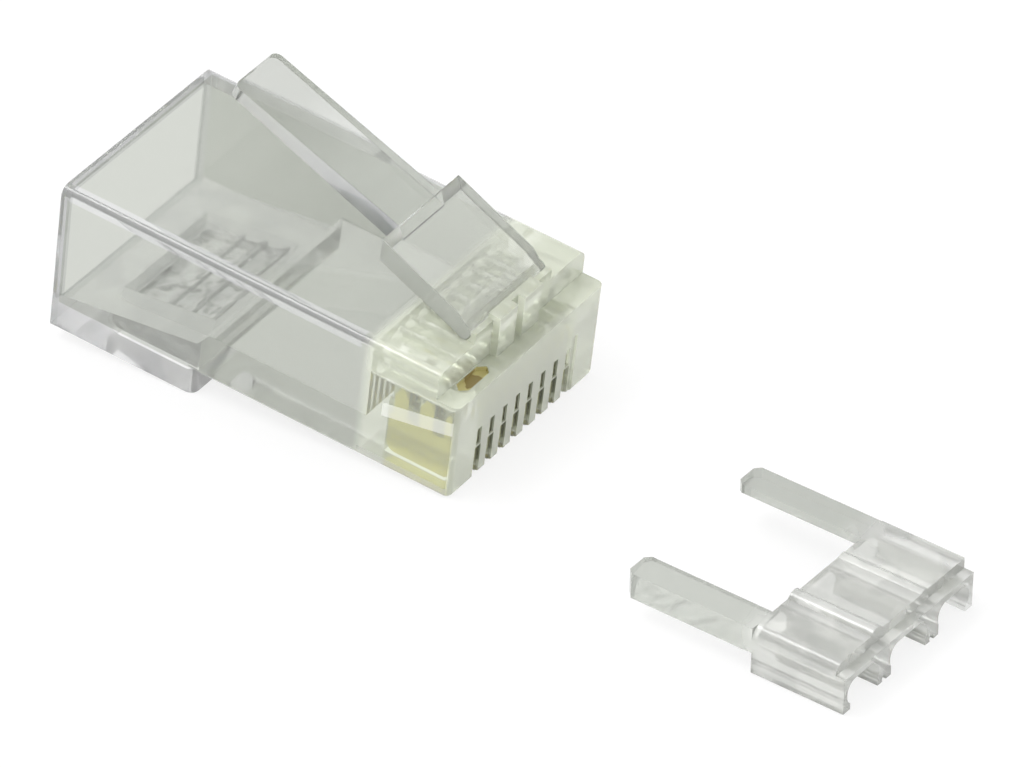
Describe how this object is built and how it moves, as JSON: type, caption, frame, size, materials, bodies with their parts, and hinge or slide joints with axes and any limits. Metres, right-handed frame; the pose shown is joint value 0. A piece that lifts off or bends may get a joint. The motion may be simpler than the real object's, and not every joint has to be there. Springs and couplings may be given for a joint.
{
  "type": "modular plug",
  "caption": "Clear modular network plug before crimping, with gold contacts, a long rear latch lever and a folding jacket clamp, beside its loose load bar.",
  "frame": {"origin": "middle of the cable end's lower edge: on the housing's rear face, midway between the flanks, level with the underside of the foot", "axes": "+X from the cable end out through the nose, +Y across the contacts, +Z from the contact side up to the latch"},
  "size_m": [0.0442, 0.0147, 0.014],
  "materials": {
    "clear_housing": "clear, glossy, moulded",
    "clear_load_bar": "clear, glossy, moulded",
    "gold_contact": "gold-plated, polished"
  },
  "bodies": {
    "housing": {"housing": "clear_housing", "load_bar": "clear_load_bar"},
    "latch": {"latch": "clear_housing"},
    "jacket_clamp": {"jacket_clamp": "clear_housing"},
    "contact_1": {"contact_1": "gold_contact"},
    "contact_2": {"contact_2": "gold_contact"},
    "contact_3": {"contact_3": "gold_contact"},
    "contact_4": {"contact_4": "gold_contact"},
    "contact_5": {"contact_5": "gold_contact"},
    "contact_6": {"contact_6": "gold_contact"},
    "contact_7": {"contact_7": "gold_contact"},
    "contact_8": {"contact_8": "gold_contact"}
  },
  "joints": [
    {"name": "latch_flex", "type": "hinge", "parent": "housing", "child": "latch", "pos_m": [0.01955, 0, 0.00815], "axis": [0, 1, 0], "range_deg": [-15, 0], "stiffness_Nm_per_rad": 0.012},
    {"name": "jacket_clamp_fold", "type": "hinge", "parent": "housing", "child": "jacket_clamp", "pos_m": [0.00275, 0, 0.0006], "axis": [0, -1, 0], "range_deg": [0, 25]},
    {"name": "contact_1_crimp", "type": "slide", "parent": "housing", "child": "contact_1", "axis": [0, 0, 1], "range_m": [0, 0.0008]},
    {"name": "contact_2_crimp", "type": "slide", "parent": "housing", "child": "contact_2", "axis": [0, 0, 1], "range_m": [0, 0.0008]},
    {"name": "contact_3_crimp", "type": "slide", "parent": "housing", "child": "contact_3", "axis": [0, 0, 1], "range_m": [0, 0.0008]},
    {"name": "contact_4_crimp", "type": "slide", "parent": "housing", "child": "contact_4", "axis": [0, 0, 1], "range_m": [0, 0.0008]},
    {"name": "contact_5_crimp", "type": "slide", "parent": "housing", "child": "contact_5", "axis": [0, 0, 1], "range_m": [0, 0.0008]},
    {"name": "contact_6_crimp", "type": "slide", "parent": "housing", "child": "contact_6", "axis": [0, 0, 1], "range_m": [0, 0.0008]},
    {"name": "contact_7_crimp", "type": "slide", "parent": "housing", "child": "contact_7", "axis": [0, 0, 1], "range_m": [0, 0.0008]},
    {"name": "contact_8_crimp", "type": "slide", "parent": "housing", "child": "contact_8", "axis": [0, 0, 1], "range_m": [0, 0.0008]}
  ],
  "couplings": [
    {"joint": "contact_2_crimp", "follows": "contact_1_crimp", "ratio": 1},
    {"joint": "contact_3_crimp", "follows": "contact_1_crimp", "ratio": 1},
    {"joint": "contact_4_crimp", "follows": "contact_1_crimp", "ratio": 1},
    {"joint": "contact_5_crimp", "follows": "contact_1_crimp", "ratio": 1},
    {"joint": "contact_6_crimp", "follows": "contact_1_crimp", "ratio": 1},
    {"joint": "contact_7_crimp", "follows": "contact_1_crimp", "ratio": 1},
    {"joint": "contact_8_crimp", "follows": "contact_1_crimp", "ratio": 1}
  ]
}
